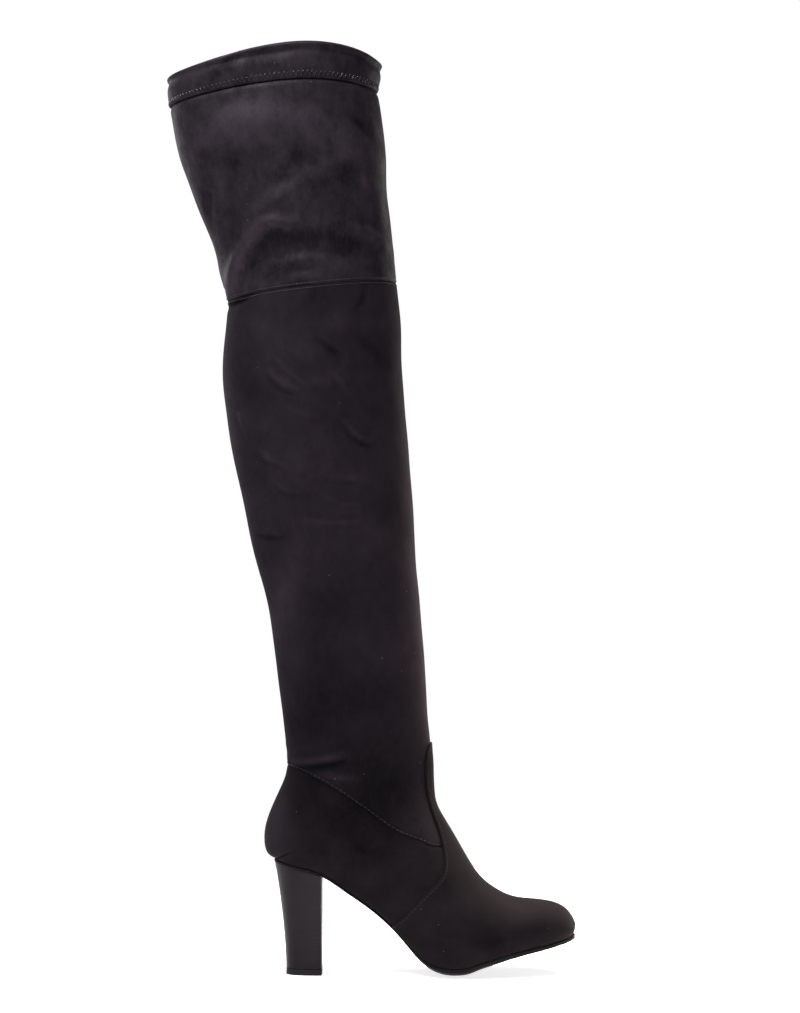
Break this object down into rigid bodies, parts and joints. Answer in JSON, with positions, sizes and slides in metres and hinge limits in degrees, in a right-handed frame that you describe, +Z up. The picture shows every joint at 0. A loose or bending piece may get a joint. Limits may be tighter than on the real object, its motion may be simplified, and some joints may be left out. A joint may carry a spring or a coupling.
{
  "type": "thigh high boot",
  "caption": "Thigh high block heel boot for the right foot, in black suede look cloth, with a folded top hem, a knee seam, a vamp with an ankle tab and a round toe.",
  "frame": {"origin": "middle of the heel's ground face, the boot standing on its heel and the ball of its sole", "axes": "+Z up, +X towards the toe, -Y towards the outer side of the foot"},
  "size_m": [0.2996, 0.1092, 0.6758],
  "materials": {
    "suede": "matt black suede look cloth on a backing",
    "stretch_suede": "matt black stretch cloth with a suede nap",
    "insole_lining": "black padded board covered with lining cloth",
    "sole_rubber": "thin matt black sole unit",
    "heel_block": "hard black block with fine stacked lines, half gloss",
    "heel_lift": "black wearing piece under the heel"
  },
  "bodies": {
    "root": {"upper": "suede", "vamp": "suede", "shaft": "stretch_suede", "thigh_panel": "stretch_suede", "top_band": "stretch_suede", "insole": "insole_lining", "outsole": "sole_rubber", "heel": "heel_block", "top_piece": "heel_lift"}
  },
  "joints": []
}
